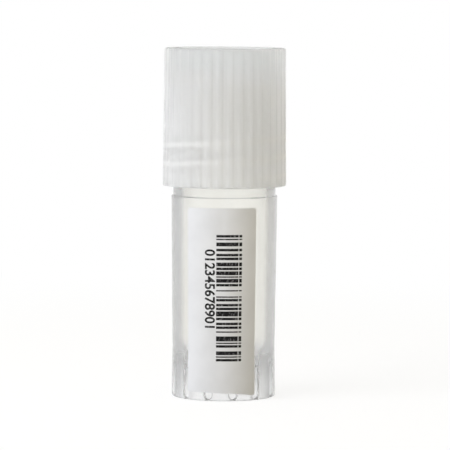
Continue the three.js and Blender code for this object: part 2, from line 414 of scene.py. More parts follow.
@dataclass(frozen=True, kw_only=True)
class MouldedPolypropylene(Finish):
    """Natural polypropylene, injection moulded: a hazy, colourless plastic that light goes through.

    It scatters a little light on its way, so thick parts look milky. Its edges are greyed partly by
    that cloudiness and partly by painted shade that deepens with the slant. The flow of the
    melt leaves faint upright streaks, and the tool's surface leaves a fine grain.
    """

    name: str
    clear: str  # where the melt is clearest
    hazy: str  # where it scattered more
    see_through: float
    thick_tone: str  # what a thick end of the moulding leaves of the light
    thick_from: float  # mm, the height where that end starts to tell
    thick_full: float  # mm
    gloss_lowest: float = 0.14  # roughness of the skin
    gloss_highest: float = 0.24
    gloss_inside: float = 0.34  # roughness of the core pin's side, which isn't polished
    gloss_thick: float = 0.55  # the same at the thick end
    slant_shade_tone: str = "#FFFFFF"  # painted shade on the skin at a slant, greying it towards its edges; a little of it is real cloudiness
    slant_shade_thick: str = "#FFFFFF"  # the same at the thick end
    slant_from: float = 0.33  # one less the cosine of the slant where the painted shade starts
    slant_full: float = 0.5
    skin_from: float = 6.01  # mm from the axis, outside which the skin is hazy
    skin_edge: float = 0.02  # mm, over which the skin starts
    streak: float = 2.2  # mm between flow streaks
    streak_stretch: float = 7.0  # how much longer than wide a streak is
    grain: float = 0.45  # mm, grain of the tool's surface, drawn coarse enough to show
    grain_depth: float = 0.004  # mm

    def shader(self, tree: bpy.types.NodeTree) -> bpy.types.Node:
        """Streaks set colour and roughness, painted shade greys the edges, grain sets the bump.

        Args:
            tree: the material's empty node tree.

        Returns:
            The Principled shader.
        """
        place = add(tree, "TexCoord").outputs["Object"]
        tall = add(tree, "Mapping", {
            "Vector": place,
            "Scale": (1.0, 1.0, 1.0 / self.streak_stretch),
        })
        streaks = add(tree, "TexNoise", {
            "Vector": tall,
            "Scale": per_mm(self.streak),
            "Detail": 3.0,
            "Roughness": 0.55,
        })
        colour = add(tree, "ValToRGB", {"Fac": streaks}, ((0.35, self.hazy), (0.65, self.clear)))
        parts = add(tree, "SeparateXYZ", {0: place})
        thick = add(tree, "MapRange", {
            "Value": parts.outputs["Z"],
            "From Min": self.thick_from * MM,
            "From Max": self.thick_full * MM,
        }, interpolation_type="SMOOTHSTEP")
        colour = add(tree, "MixRGB", {
            "Fac": thick,
            "Color1": colour,
            "Color2": linear(self.thick_tone),
        })
        level = add(tree, "VectorMath", {0: place, 1: (1.0, 1.0, 0.0)}, operation="MULTIPLY")
        outwards = add(tree, "VectorMath", {0: level}, operation="LENGTH")
        skin = add(tree, "MapRange", {
            "Value": outwards.outputs["Value"],
            "From Min": (self.skin_from - self.skin_edge / 2) * MM,
            "From Max": (self.skin_from + self.skin_edge / 2) * MM,
        })
        # painted shade: the skin's colour greys as it turns edge-on, standing in for darker edges
        slant = add(tree, "LayerWeight", {"Blend": 0.5})
        edge_shade = add(tree, "MapRange", {
            "Value": slant.outputs["Facing"],
            "From Min": self.slant_from,
            "From Max": self.slant_full,
            "To Max": skin,
        }, interpolation_type="SMOOTHSTEP")
        edge_shade_colour = add(tree, "MixRGB", {
            "Fac": thick,
            "Color1": linear(self.slant_shade_tone),
            "Color2": linear(self.slant_shade_thick),
        })
        colour = add(tree, "MixRGB", {"Fac": edge_shade, "Color1": colour, "Color2": edge_shade_colour})
        polish = add(tree, "MapRange", {
            "Value": streaks,
            "From Min": 0.3,
            "From Max": 0.7,
            "To Min": self.gloss_lowest,
            "To Max": self.gloss_highest,
        })
        dull = add(tree, "MapRange", {
            "Value": thick,
            "To Min": self.gloss_inside,
            "To Max": self.gloss_thick,
        })
        gloss = add(tree, "MapRange", {"Value": skin, "To Min": dull, "To Max": polish})
        grain = add(tree, "TexNoise", {
            "Vector": tall,
            "Scale": per_mm(self.grain),
            "Detail": 2.0,
        })
        bump = add(tree, "Bump", {
            "Height": grain,
            "Strength": 1.0,
            "Distance": self.grain_depth * MM,
        })
        return add(tree, "BsdfPrincipled", {
            "Base Color": colour,
            "Roughness": gloss,
            "Normal": bump,
            "Transmission Weight": self.clearness(tree, place, thick),
            "IOR": 1.49,
        })

    def clearness(
        self, tree: bpy.types.NodeTree, place: bpy.types.NodeSocket, thick: bpy.types.Node
    ) -> bpy.types.Node | float:
        """How much light goes through: the same share all over."""
        return self.see_through


@dataclass(frozen=True, kw_only=True)
class ThreadedPolypropylene(MouldedPolypropylene):
    """The same plastic in a milky grade, with a thread: less light goes through its ridge."""

    thread: Ridge
    see_through_thick: float
    see_through_thread: float
    thread_ends: tuple[float, float] = (0.3, -0.1)  # pitches past its end: starts to show, is whole

    def clearness(
        self, tree: bpy.types.NodeTree, place: bpy.types.NodeSocket, thick: bpy.types.Node
    ) -> bpy.types.Node | float:
        """How much light goes through: another share at the thick end, and less along the thread.

        The height in pitches less the share of a turn is whole on the ridge's middle. How far it is
        from the nearest whole number says how far away the ridge is.

        Args:
            tree: the node tree.
            place: Object coordinates.
            thick: 1 at the thick end and 0 elsewhere.

        Returns:
            The node that gives the share.
        """
        ridge = self.thread
        wall = add(tree, "MapRange", {
            "Value": thick,
            "To Min": self.see_through,
            "To Max": self.see_through_thick,
        })
        east, north, height = add(tree, "SeparateXYZ", {0: place}).outputs
        angle = add(tree, "Math", {0: north, 1: east}, operation="ARCTAN2")
        share = add(tree, "Math", {0: angle, 1: 2.0 * math.pi}, operation="DIVIDE")
        climb = add(tree, "Math", {0: height, 1: ridge.pitch * MM}, operation="DIVIDE")
        turns = add(tree, "Math", {0: climb, 1: share}, operation="SUBTRACT")
        first = ridge.start_height / ridge.pitch - ridge.start_angle / 360.0
        count = add(tree, "Math", {0: turns, 1: first}, operation="SUBTRACT")
        away = add(tree, "Math", {0: count, 1: 0.5}, operation="PINGPONG")
        near = add(tree, "MapRange", {
            "Value": away,
            "From Min": ridge.root_width / 2 / ridge.pitch,
            "From Max": ridge.crest_width / 2 / ridge.pitch,
        }, interpolation_type="SMOOTHSTEP")
        middle = ridge.start_height + ridge.pitch * ridge.turns / 2
        off = add(tree, "Math", {0: height, 1: middle * MM}, operation="SUBTRACT")
        far = add(tree, "Math", {0: off}, operation="ABSOLUTE")
        outer, inner = self.thread_ends
        within = add(tree, "MapRange", {
            "Value": far,
            "From Min": ridge.pitch * (ridge.turns / 2 + outer) * MM,
            "From Max": ridge.pitch * (ridge.turns / 2 + inner) * MM,
            "To Max": near,
        })
        return add(tree, "MapRange", {
            "Value": within,
            "To Min": wall,
            "To Max": self.see_through_thread,
        })


@dataclass(frozen=True)
class DieCutSilicone(Finish):
    """Silicone rubber, die cut from sheet: milky, matt, faintly yellow, with a fine dusty grain."""

    name: str = "silicone rubber, die cut"
    pale: str = "#FEFEFC"
    dull: str = "#FBFAF7"
    see_through: float = 0.72
    gloss_lowest: float = 0.3  # roughness
    gloss_highest: float = 0.45
    grain: float = 0.3  # mm, coarser than the real dust so that it shows
    grain_depth: float = 0.006  # mm

    def shader(self, tree: bpy.types.NodeTree) -> bpy.types.Node:
        """One grain sets colour, roughness and bump.

        Args:
            tree: the material's empty node tree.

        Returns:
            The Principled shader.
        """
        place = add(tree, "TexCoord").outputs["Object"]
        grain = add(tree, "TexNoise", {
            "Vector": place,
            "Scale": per_mm(self.grain),
            "Detail": 4.0,
        })
        colour = add(tree, "ValToRGB", {"Fac": grain}, ((0.0, self.dull), (1.0, self.pale)))
        matt = add(tree, "MapRange", {
            "Value": grain,
            "To Min": self.gloss_lowest,
            "To Max": self.gloss_highest,
        })
        bump = add(tree, "Bump", {
            "Height": grain,
            "Strength": 0.6,
            "Distance": self.grain_depth * MM,
        })
        return add(tree, "BsdfPrincipled", {
            "Base Color": colour,
            "Roughness": matt,
            "Normal": bump,
            "Transmission Weight": self.see_through,
            "IOR": 1.41,
        })


@dataclass(frozen=True)
class CoatedFilm(Finish):
    """White polypropylene film, cast and top-coated: opaque, satin and a little cool in tone."""

    name: str = "white label film, cast and coated"
    face: str = "#F3F4F8"
    cloud: str = "#EDEEF2"  # where the coating is thinner
    cloud_size: float = 3.0  # mm
    gloss_lowest: float = 0.42  # roughness
    gloss_highest: float = 0.6
    tooth: float = 0.12  # mm, grain of the coating
    tooth_depth: float = 0.003  # mm

    def shader(self, tree: bpy.types.NodeTree) -> bpy.types.Node:
        """Clouds set the colour, and the coating's tooth sets roughness and bump.

        Args:
            tree: the material's empty node tree.

        Returns:
            The Principled shader.
        """
        place = add(tree, "TexCoord").outputs["Object"]
        clouds = add(tree, "TexNoise", {
            "Vector": place,
            "Scale": per_mm(self.cloud_size),
            "Detail": 3.0,
        })
        colour = add(tree, "ValToRGB", {"Fac": clouds}, ((0.35, self.cloud), (0.65, self.face)))
        tooth = add(tree, "TexNoise", {
            "Vector": place,
            "Scale": per_mm(self.tooth),
            "Detail": 2.0,
        })
        satin = add(tree, "MapRange", {
            "Value": tooth,
            "To Min": self.gloss_lowest,
            "To Max": self.gloss_highest,
        })
        bump = add(tree, "Bump", {
            "Height": tooth,
            "Strength": 0.4,
            "Distance": self.tooth_depth * MM,
        })
        return add(tree, "BsdfPrincipled", {
            "Base Color": colour,
            "Roughness": satin,
            "Normal": bump,
            "IOR": 1.45,
        })


@dataclass(frozen=True)
class ThermalInk(Finish):
    """Resin ribbon, printed by heat: dense black, with fine pale flecks where it didn't take."""

    name: str = "black resin ribbon, heat printed"
    solid: str = "#08080A"
    worn: str = "#8A8A8C"  # where the film's tooth shows through
    gloss_lowest: float = 0.5  # roughness
    gloss_highest: float = 0.65
    tooth: float = 0.14  # mm, the film's grain
    feed: float = 2.5  # how much longer than wide a fleck is, along the way that the film ran

    def shader(self, tree: bpy.types.NodeTree) -> bpy.types.Node:
        """The film's tooth lightens the ink here and there.

        Args:
            tree: the material's empty node tree.

        Returns:
            The Principled shader.
        """
        place = add(tree, "TexCoord").outputs["Object"]
        along = add(tree, "Mapping", {"Vector": place, "Scale": (1.0, 1.0, 1.0 / self.feed)})
        tooth = add(tree, "TexNoise", {
            "Vector": along,
            "Scale": per_mm(self.tooth),
            "Detail": 3.0,
        })
        colour = add(tree, "ValToRGB", {"Fac": tooth}, ((0.54, self.solid), (0.72, self.worn)))
        gloss = add(tree, "MapRange", {
            "Value": tooth,
            "To Min": self.gloss_lowest,
            "To Max": self.gloss_highest,
        })
        return add(tree, "BsdfPrincipled", {
            "Base Color": colour,
            "Roughness": gloss,
            "Specular IOR Level": 0.2,
            "IOR": 1.5,
        })


CAP_THREAD = Ridge(start_angle=-47.5, start_height=26.196, turns=93 / TURN_STEPS, depth=0.45)
CLEAR_RESIN = MouldedPolypropylene(
    name="natural polypropylene, moulded clear",
    clear="#FFFFFC",
    hazy="#FDFCF8",
    see_through=0.965,
    thick_tone="#FEFEFE",
    thick_from=7.4,
    thick_full=5.6,
    # painted shade: the tube's skin greys to this towards its edges
    slant_shade_tone="#C6C7C8",
    slant_shade_thick="#E3E4E5",
)
MILKY_RESIN = ThreadedPolypropylene(
    name="natural polypropylene, moulded milky",
    clear="#FFFFFF",
    hazy="#FEFEFE",
    see_through=0.7,
    see_through_thick=0.8,
    see_through_thread=0.34,
    # the ridge as the wall shows it is a little lower and narrower than it lies
    thread=replace(CAP_THREAD, start_height=26.03, root_width=0.75, crest_width=0.15),
    thick_tone="#F0F1F1",
    thick_from=36.8,
    thick_full=39.5,
    gloss_lowest=0.58,
    gloss_highest=0.68,
    gloss_inside=0.75,
    gloss_thick=0.8,
    grain_depth=0.006,
)


# Sub-assemblies ---------------------------------------------------------------------------------


@dataclass
class Tube:
    """The tube: one moulding with a skirt, star ribs, round floor, body, collar and neck."""

    shoulder_radius: float  # the widest, where the body meets the collar
    rim_height: float
    neck_length: float = 12.2
    shoulder_chamfer: float = 0.1
    waist_draft: float = 0.205
    waist_height: float = 6.0
    skirt_flare: float = 0.015
    skirt_height: float = 4.7
    foot_flare: float = 0.085
    foot_round: float = 0.18
    foot_chamfer: float = 0.08
    collar_step: float = 0.22
    collar_height: float = 1.5
    crest_below_collar: float = 0.03
    thread_depth: float = 0.38
    neck_wall: float = 0.72
    rim_round: float = 0.15
    floor_wall: float = 1.2  # at the middle
    foot_clearance: float = 0.8
    vault_radius: float = 5.75  # of the floor's underside, were it carried on to its widest
    vault_rise: float = 6.04
    skirt_wall: float = 0.57
    thread_start: float = -207.5  # degrees
    thread_start_gap: float = 0.4  # from the collar up to the ridge's lower edge
    thread_width: float = 0.95
    thread_top_land: float = 2.7  # from the ridge's upper edge to the rim
    land_rows: tuple[float, float] = (0.1, 0.4)  # up the land: close rows end, wide ones start
    rib_count: int = 12
    rib_width: float = 0.95
    rib_depth: float = 0.7
    rib_lift: float = 0.05
    rib_start: float = 11.5
    rib_edge_round: float = 0.24
    rib_side_lean: float = 1.03  # how much further out, in angle, a rib's side meets the wall
    finish: Finish = CLEAR_RESIN

    @classmethod
    def from_frame(cls) -> "Tube":
        """The tube whose width and height the frame gives."""
        _, high = corners("tube")
        return cls(shoulder_radius=float(high[0]), rim_height=float(high[2]))

    @property
    def shoulder_height(self) -> float:
        """Height of the top of the body."""
        return self.rim_height - self.neck_length

    @property
    def collar_top(self) -> float:
        """Height of the top of the collar."""
        return self.shoulder_height + self.collar_height

    @property
    def collar_radius(self) -> float:
        """Radius of the plain collar above the shoulder."""
        return self.shoulder_radius - self.collar_step

    @property
    def root_radius(self) -> float:
        """Radius of the neck between the turns of its thread."""
        return self.collar_radius - self.crest_below_collar - self.thread_depth

    @property
    def bore_radius(self) -> float:
        """Radius of the chamber."""
        return self.root_radius - self.neck_wall

    @property
    def floor_centre(self) -> float:
        """Height of the round floor's centre."""
        return self.foot_clearance + self.floor_wall + self.bore_radius

    @property
    def foot_radius(self) -> float:
        """Outside radius of the foot."""
        return self.shoulder_radius - self.waist_draft + self.foot_flare

    @property
    def skirt_radius(self) -> float:
        """Inside radius of the skirt."""
        return self.foot_radius - self.skirt_wall

    def outside(self, height: np.ndarray) -> np.ndarray:
        """Outside radius up to the shoulder: straight runs from foot to skirt, waist and shoulder.

        Args:
            height: millimetres.

        Returns:
            The radius at each height.
        """
        waist = self.shoulder_radius - self.waist_draft
        heights = [0.0, self.skirt_height, self.waist_height, self.shoulder_height]
        radii = [self.foot_radius, waist + self.skirt_flare, waist, self.shoulder_radius]
        return np.interp(height, heights, radii)

    def dome(self, radius: np.ndarray) -> np.ndarray:
        """Height of the round floor's underside at a radius.

        An ellipse: its rise times one less the square root of one minus its radius's share squared.

        Args:
            radius: millimetres from the axis.

        Returns:
            The height at each radius.
        """
        share = radius / self.vault_radius
        return self.foot_clearance + self.vault_rise * (1.0 - np.sqrt(1.0 - share**2))

    def columns(self) -> tuple[np.ndarray, np.ndarray]:
        """Where the grid's columns lie: close on a rib's sides and rounded end, wide elsewhere.

        Returns:
            Each column's angle, and its distance from its rib's middle in half widths.
        """
        spacing = 360.0 / self.rib_count
        middle = self.skirt_radius - self.rib_depth / 2
        half = math.degrees(math.asin(self.rib_width / 2 / middle))
        on_rib = np.sin(np.radians(np.linspace(-90.0, 90.0, 9)))
        beside = np.linspace(half * self.rib_side_lean, spacing / 2, 8)[:-1] / half
        shares = np.concatenate([-beside[::-1], on_rib, beside, [spacing / 2 / half]])
        ribs = self.rib_start + spacing * np.arange(self.rib_count)
        angles = ribs[:, None] + shares * half
        return angles.reshape(-1), np.tile(shares, self.rib_count)

    def underside(self, shares: np.ndarray) -> np.ndarray:
        """The round floor's underside, the star ribs and the skirt's inside.

        Between ribs a column follows the dome out to the wall and down. On a rib it leaves the dome
        sooner, goes down the rib's face and out along its rounded end. The end's height is its lift
        plus half a width, less the square root of that half squared minus the distance from the
        middle squared.

        Args:
            shares: each column's distance from its rib's middle, in half widths.

        Returns:
            Rows, columns and (radius, height).
        """
        half = self.rib_width / 2
        inner = self.skirt_radius - self.rib_depth
        across = np.minimum(np.abs(shares), 1.0) * half
        end = self.rib_lift + half - np.sqrt(half**2 - across**2)
        edge = self.rib_edge_round
        past = np.maximum(across - (half - edge), 0.0)
        face = inner + edge - np.sqrt(edge**2 - past**2)
        wall = np.full_like(end, self.skirt_radius)

        down = line(at(face, self.dome(face)), at(face, end + edge), 12)
        turn = np.radians(np.linspace(180.0, 270.0, 5))[1:, None]
        corner = at(face + edge * (1.0 + np.cos(turn)), end + edge * (1.0 + np.sin(turn)))
        out = line(at(face + edge, end), at(wall, end), 5)[1:]
        rib = np.concatenate([down, corner, out])

        reach = np.linspace(np.full_like(wall, inner), wall, 10)
        drop = line(at(wall, self.dome(wall)), at(wall, self.rib_lift + half), 11)[1:]
        plain = np.concatenate([at(reach, self.dome(reach)), drop])

        on_rib = np.abs(shares) <= 1.0 + TINY
        middle = np.where(on_rib[None, :, None], rib, plain)
        below = line(middle[-1], at(wall, self.foot_chamfer), 5)[1:]
        reach = inner * np.sin(np.radians(np.linspace(0.0, 90.0, 20)))[:-1]
        round_floor = spread(at(reach, self.dome(reach)), len(shares))
        return np.concatenate([round_floor, middle, below])

    def body(self) -> np.ndarray:
        """The foot and the outside wall up to the top of the collar, as one profile.

        Returns:
            An array of (radius, height) rows.
        """
        foot = (self.foot_radius - self.foot_round, self.foot_round)
        heights = np.concatenate([
            np.linspace(self.foot_round, self.skirt_height, 8),
            np.linspace(self.skirt_height, self.waist_height, 5),
            np.linspace(self.waist_height, self.shoulder_height - self.shoulder_chamfer, 20),
        ])
        return joined(
            line((self.skirt_radius + self.foot_chamfer, 0.0), (foot[0], 0.0), 3),
            arc(foot, self.foot_round, -90.0, 0.0, 7)[1:-1],
            at(self.outside(heights), heights),
            at(self.collar_radius, np.linspace(self.shoulder_height, self.collar_top, 5)),
        )

    def neck(self, angles: np.ndarray) -> np.ndarray:
        """The threaded neck: the root's radius plus the ridge's rise, up to the rim's round.

        Args:
            angles: each column's angle.

        Returns:
            Rows, columns and (radius, height).
        """
        land = self.rim_height - self.thread_top_land
        start = self.collar_top + self.thread_width / 2 + self.thread_start_gap
        end = land - self.thread_width / 2
        ridge = Ridge(
            start_angle=self.thread_start,
            start_height=start,
            turns=math.floor((end - start) / PITCH * TURN_STEPS) / TURN_STEPS,
            depth=self.thread_depth,
            root_width=self.thread_width,
        )
        foot = self.collar_top + (self.collar_radius - self.root_radius) / 2
        close_end, wide_start = self.land_rows
        heights = np.concatenate([
            np.linspace(foot, land + close_end, 108),
            np.linspace(land + wide_start, self.rim_height - self.rim_round, 5),
        ])[:, None]
        return at(self.root_radius + ridge.rise(angles[None, :], heights), heights)

    def chamber(self) -> np.ndarray:
        """The rim and the chamber, down to the middle of the round floor, as one profile.

        Returns:
            An array of (radius, height) rows.
        """
        rim = (self.root_radius - self.rim_round, self.rim_height - self.rim_round)
        lip = self.rim_round / 2
        inner = (self.bore_radius + lip, self.rim_height - lip)
        return joined(
            arc(rim, self.rim_round, 0.0, 90.0, 5)[1:],
            arc(inner, lip, 90.0, 180.0, 4),
            at(self.bore_radius, np.linspace(self.rim_height - lip, self.floor_centre, 24)),
            arc((0.0, self.floor_centre), self.bore_radius, 0.0, -90.0, 22),
        )

    def build(self) -> None:
        """Makes the tube, dresses it and lets it stand for its frame node."""
        angles, shares = self.columns()
        grid = np.concatenate([
            self.underside(shares),
            spread(self.body(), len(angles)),
            self.neck(angles),
            spread(self.chamber(), len(angles)),
        ])
        made = turned_piece("moulded_tube", carried_round(grid, angles), Ends.POLES)
        seat(made, Body.VIAL, self.finish)
        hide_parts("tube")


@dataclass
class SealRing:
    """The washer between the cap's top plate and the tube's rim."""

    bottom: float
    top: float
    outer: float
    inner: float = 4.6
    edge: float = 0.08
    segments: int = 144
    finish: Finish = DieCutSilicone()

    @classmethod
    def from_frame(cls) -> "SealRing":
        """The washer whose height and width the frame gives."""
        low, high = corners("seal_ring")
        return cls(bottom=float(low[2]), top=float(high[2]), outer=float(high[0]))

    def profile(self) -> np.ndarray:
        """A rectangle with four rounded corners, up the outside and down the inside.

        Returns:
            An array of (radius, height) rows.
        """
        low, high = self.bottom + self.edge, self.top - self.edge
        left, right = self.inner + self.edge, self.outer - self.edge
        return joined(
            arc((right, low), self.edge, -90.0, 0.0, 4),
            arc((right, high), self.edge, 0.0, 90.0, 4),
            line((right, self.top), (left, self.top), 5),
            arc((left, high), self.edge, 90.0, 180.0, 4),
            arc((left, low), self.edge, 180.0, 270.0, 4),
            line((left, self.bottom), (right, self.bottom), 5)[:-1],
        )

    def build(self) -> None:
        """Makes the washer, dresses it and lets it stand for its frame node."""
        angles = np.linspace(0.0, 360.0, self.segments, endpoint=False)
        grid = carried_round(spread(self.profile(), self.segments), angles)
        made = turned_piece("silicone_washer", grid, Ends.LOOP)
        seat(made, Body.SEAL, self.finish)
        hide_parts("seal_ring")


@dataclass
class ScrewCap:
    """The cap: one moulding with grip ribs, a top recess, a thread and what holds the seal."""

    seal: SealRing  # the top plate's underside lies on it
    bottom: float
    top: float
    bore: float = 6.2
    wall: float = 0.975  # from the bore to the valleys of the grip
    grip_height: float = 0.1
    grip_count: int = 36
    grip_start: float = 5.3  # degrees
    grip_crest_share: float = 0.24  # of the spacing, flat on a crest
    grip_root_share: float = 0.76  # of the spacing, from one foot of a rib to the other
    draft: float = 0.15
    edge_round: float = 0.2
    lead_in: float = 0.3
    plate: float = 1.5
    recess_wall: float = 1.6
    recess_edge_round: float = 0.12
    boss_clearance: float = 0.15
    boss_height: float = 0.7
    boss_edge_round: float = 0.1
    seal_rib_count: int = 6
    seal_rib_width: float = 0.45
    seal_rib_flank: float = 0.35  # a flank's reach to each side of the rib's edge, in half widths
    seal_rib_length: float = 3.4
    seal_rib_end: float = 0.05  # over which a rib's lower end goes back to the wall
    seal_rib_start: float = 17.0  # degrees
    seal_rib_clearance: float = 0.13
    thread: Ridge = CAP_THREAD
    finish: Finish = MILKY_RESIN

    @classmethod
    def from_frame(cls, seal: SealRing) -> "ScrewCap":
        """The cap whose heights the frame gives, on this seal."""
        low, high = corners("screw_cap")
        return cls(seal=seal, bottom=float(low[2]), top=float(high[2]))

    @property
    def radius(self) -> float:
        """Radius over the grip ribs at the bottom edge."""
        return self.bore + self.wall + self.grip_height

    def columns(self) -> tuple[np.ndarray, np.ndarray]:
        """Columns close together on the flanks of each grip rib.

        Returns:
            Each column's angle, and how far the grip stands there: 1 on a crest and 0 in a valley.
        """
        half = np.array([0.0, 0.08, 0.14, 0.2, 0.26, 0.32, 0.38, 0.44])  # shares of the spacing
        shares = np.concatenate([-half[:0:-1], half, [0.5]])
        spacing = 360.0 / self.grip_count
        ribs = self.grip_start + spacing * np.arange(self.grip_count)
        angles = (ribs[:, None] + shares * spacing).reshape(-1)
        flank = (self.grip_root_share - self.grip_crest_share) / 2
        stands = smooth((self.grip_root_share / 2 - np.abs(shares)) / flank)
        return angles, np.tile(stands, self.grip_count)

    def inside(self, angles: np.ndarray) -> np.ndarray:
        """The boss, the ceiling, the seal ribs, the thread and the lead-in, from the axis outwards.

        The wall is the bore's radius less the larger of two rises, the thread's and the seal ribs'.
        A rib's rise is a soft step down each flank.

        Args:
            angles: each column's angle.

        Returns:
            Rows, columns and (radius, height).
        """
        ceiling = self.seal.top
        boss = self.seal.inner - self.boss_clearance
        boss_bottom = ceiling - self.boss_height
        edge = self.boss_edge_round
        top = joined(
            line((0.0, boss_bottom), (boss - edge, boss_bottom), 7),
            arc((boss - edge, boss_bottom + edge), edge, -90.0, 0.0, 4),
            line((boss, boss_bottom + edge), (boss, ceiling), 3),
            line((boss, ceiling), (self.bore - edge, ceiling), 5),
        )
        rib_foot = ceiling - self.seal_rib_length
        low = self.bottom + self.lead_in
        heights = np.concatenate([
            np.linspace(ceiling, rib_foot, 8),
            np.linspace(rib_foot - self.seal_rib_end, low, 82),
        ])[:, None]
        spacing = 360.0 / self.seal_rib_count
        across = np.abs((angles - self.seal_rib_start + spacing / 2) % spacing - spacing / 2)
        half = math.degrees(self.seal_rib_width / 2 / self.bore)
        flank = ((1.0 + self.seal_rib_flank) * half - across) / (2.0 * self.seal_rib_flank * half)
        reach = self.bore - self.seal.outer - self.seal_rib_clearance
        rib = reach * smooth(flank) * (heights > rib_foot - TINY)
        wall = at(self.bore - np.maximum(self.thread.rise(angles[None, :], heights), rib), heights)
        half_way = (self.bore + self.lead_in / 2, low - self.lead_in / 2)
        mouth = line(half_way, (self.bore + self.lead_in, self.bottom), 2)
        return np.concatenate([spread(top, len(angles)), wall, spread(mouth, len(angles))])

    def outside(self, stands: np.ndarray) -> np.ndarray:
        """The bottom edge, the ribbed grip and the top rim.

        A valley lies one rib height inside a crest.

        Args:
            stands: how far the grip stands in each column.

        Returns:
            Rows, columns and (radius, height).
        """
        top_radius = self.radius - self.draft
        edge = self.edge_round
        heights = np.linspace(self.bottom + edge, self.top - edge, 26)
        radii = np.interp(heights, [self.bottom, self.top], [self.radius, top_radius])
        crest = joined(
            arc((self.radius - edge, self.bottom + edge), edge, -90.0, 0.0, 6)[:-1],
            at(radii, heights),
            arc((top_radius - edge, self.top - edge), edge, 0.0, 90.0, 6)[1:],
        )
        grid = spread(crest, len(stands))
        grid[..., 0] -= self.grip_height * (1.0 - stands)
        return grid

    def recess(self) -> np.ndarray:
        """The well in the top, from its rim to the middle of its floor, as one profile.

        Returns:
            An array of (radius, height) rows.
        """
        radius = self.radius - self.draft - self.recess_wall
        rim_middle = radius + (self.recess_wall - self.edge_round) / 2
        floor = self.seal.top + self.plate
        edge = self.recess_edge_round
        return joined(
            line((rim_middle, self.top), (radius + edge, self.top), 3),
            arc((radius + edge, self.top - edge), edge, 90.0, 180.0, 5),
            line((radius, self.top - edge), (radius, floor + edge), 6),
            arc((radius - edge, floor + edge), edge, 0.0, -90.0, 5),
            line((radius - edge, floor), (0.0, floor), 9),
        )

    def build(self) -> None:
        """Makes the cap, dresses it and lets it stand for its frame node."""
        angles, stands = self.columns()
        well = spread(self.recess(), len(angles))
        grid = np.concatenate([self.inside(angles), self.outside(stands), well])
        made = turned_piece("moulded_cap", carried_round(grid, angles), Ends.POLES)
        seat(made, Body.CAP, self.finish)
        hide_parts("screw_cap")


